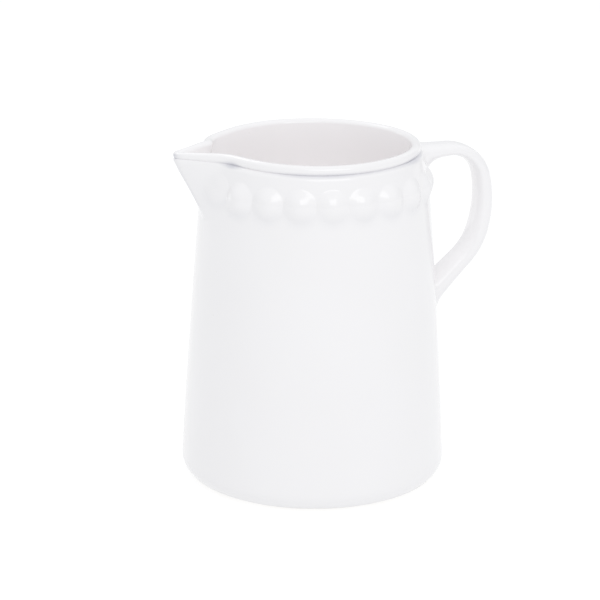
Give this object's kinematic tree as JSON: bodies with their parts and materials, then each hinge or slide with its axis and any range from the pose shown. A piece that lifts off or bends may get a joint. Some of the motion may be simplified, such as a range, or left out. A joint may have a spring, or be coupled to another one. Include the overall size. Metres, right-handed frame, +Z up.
{
  "type": "ceramic pitcher",
  "caption": "Glazed ceramic pitcher with a tapering body, beaded shoulder, rolled lip, beak spout and strap handle.",
  "frame": {"origin": "on the vessel's axis, at the surface that the foot ring stands on", "axes": "+Z up along the vessel's axis, -X towards the spout, +X towards the handle, +Y across"},
  "size_m": [0.1637, 0.132, 0.17],
  "materials": {
    "white_glaze": "gloss",
    "lip_glaze": "gloss",
    "bare_clay": "matte"
  },
  "bodies": {
    "root": {"vessel_wall": "white_glaze", "spout": "white_glaze", "handle": "white_glaze", "bead_01": "white_glaze", "bead_02": "white_glaze", "bead_03": "white_glaze", "bead_04": "white_glaze", "bead_05": "white_glaze", "bead_06": "white_glaze", "bead_07": "white_glaze", "bead_08": "white_glaze", "bead_09": "white_glaze", "bead_10": "white_glaze", "bead_11": "white_glaze", "bead_12": "white_glaze", "bead_13": "white_glaze", "bead_14": "white_glaze", "bead_15": "white_glaze", "bead_16": "white_glaze", "bead_17": "white_glaze", "bead_18": "white_glaze", "bead_19": "white_glaze", "bead_20": "white_glaze", "rolled_lip": "lip_glaze", "foot_ring": "bare_clay"}
  },
  "joints": []
}
